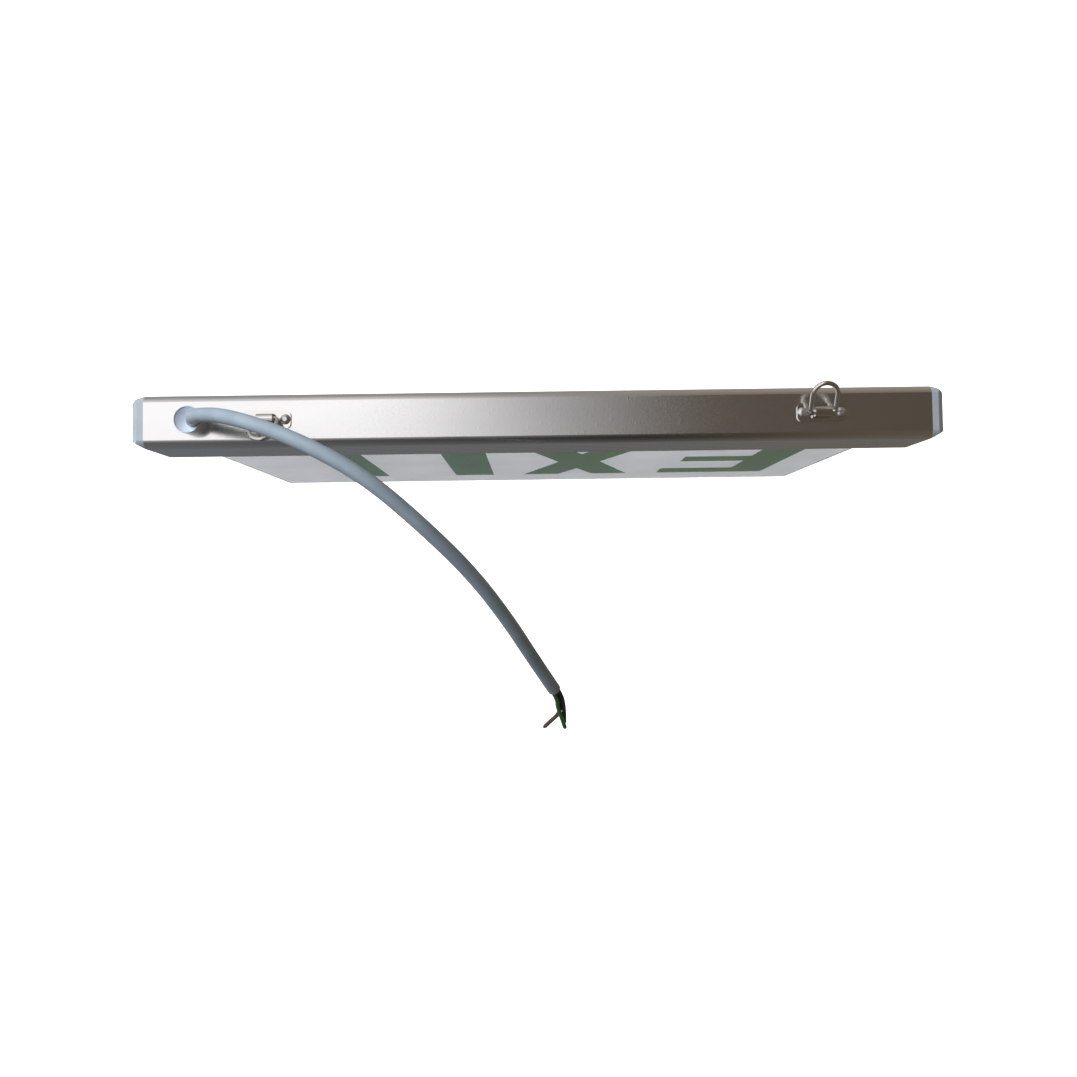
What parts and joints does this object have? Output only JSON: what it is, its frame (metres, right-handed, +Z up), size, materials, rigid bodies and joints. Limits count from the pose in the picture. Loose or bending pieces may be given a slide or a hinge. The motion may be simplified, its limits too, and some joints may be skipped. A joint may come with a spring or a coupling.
{
  "type": "hanging emergency exit light",
  "caption": "Slim metal bar that lights a clear hanging legend panel from its edge, with hinged hanger loops on top and a short bare-ended supply lead.",
  "frame": {"origin": "middle of the bar's top face, midway along the bar and across it, where the hanging fitting is set out", "axes": "+X along the bar, +Y towards the side from which the legend reads the right way round, +Z up; the panel hangs down"},
  "size_m": [0.376, 0.162, 0.3376],
  "materials": {
    "anodised_aluminium": "satin anodised",
    "cap_plastic": "smooth moulded, pale blue-grey",
    "clear_acrylic": "polished clear acrylic",
    "strip_plastic": "fine moulded",
    "legend_green": "screen-printed film",
    "bright_nickel": "polished nickel plate",
    "rivet_aluminium": "bright",
    "zinc_steel": "zinc plated",
    "gland_nylon": "translucent natural nylon",
    "lead_sheath": "soft matt sheath",
    "core_green": "smooth insulation",
    "core_black": "smooth insulation",
    "core_brown": "smooth insulation",
    "bare_copper": "bright stranded wire",
    "circuit_board_white": "solder mask",
    "circuit_board_green": "solder mask",
    "led_phosphor": "phosphor window",
    "transformer_tape": "polyester tape and ferrite",
    "capacitor_sleeve": "shrink sleeve",
    "terminal_green": "moulded",
    "battery_wrap": "shrink sleeve",
    "clip_plastic": "moulded",
    "button_plastic": "moulded",
    "lens_green": "clear tinted",
    "lens_red": "clear tinted",
    "lens_amber": "clear tinted"
  },
  "bodies": {
    "housing": {"body_profile": "anodised_aluminium", "end_cap_left": "cap_plastic", "end_cap_right": "cap_plastic", "end_screws": "zinc_steel", "legend_panel": "clear_acrylic", "trim_strip_front": "strip_plastic", "trim_strip_rear": "strip_plastic", "panel_screws": "zinc_steel", "panel_nuts": "zinc_steel", "led_board": "circuit_board_white", "led_chips": "led_phosphor", "driver_board": "circuit_board_green", "driver_transformer": "transformer_tape", "driver_capacitors": "capacitor_sleeve", "terminal_block": "terminal_green", "battery_cells": "battery_wrap", "battery_clips": "clip_plastic", "hanger_bracket_left": "bright_nickel", "hanger_bracket_right": "bright_nickel", "hanger_rivets": "rivet_aluminium", "cable_gland": "gland_nylon", "gland_nut": "gland_nylon", "supply_lead": "lead_sheath", "core_earth": "core_green", "core_neutral": "core_black", "core_live": "core_brown", "control_board": "circuit_board_green", "button_switch": "button_plastic", "indicator_mains": "lens_green", "indicator_charge": "lens_red", "indicator_fault": "lens_amber"},
    "hanger_loop_left": {"hanger_loop_left": "bright_nickel"},
    "hanger_loop_right": {"hanger_loop_right": "bright_nickel"},
    "test_button": {"test_button": "button_plastic"}
  },
  "joints": [
    {"name": "left_hanger_hinge", "type": "hinge", "parent": "housing", "child": "hanger_loop_left", "pos_m": [-0.125, 0, 0.0032], "axis": [1, 0, 0], "range_deg": [-148, 48]},
    {"name": "right_hanger_hinge", "type": "hinge", "parent": "housing", "child": "hanger_loop_right", "pos_m": [0.1305, 0, 0.0032], "axis": [1, 0, 0], "range_deg": [-41.5, 154.5]},
    {"name": "test_button_press", "type": "slide", "parent": "housing", "child": "test_button", "axis": [0, 0, 1], "range_m": [0, 0.001], "stiffness_N_per_m": 400}
  ]
}
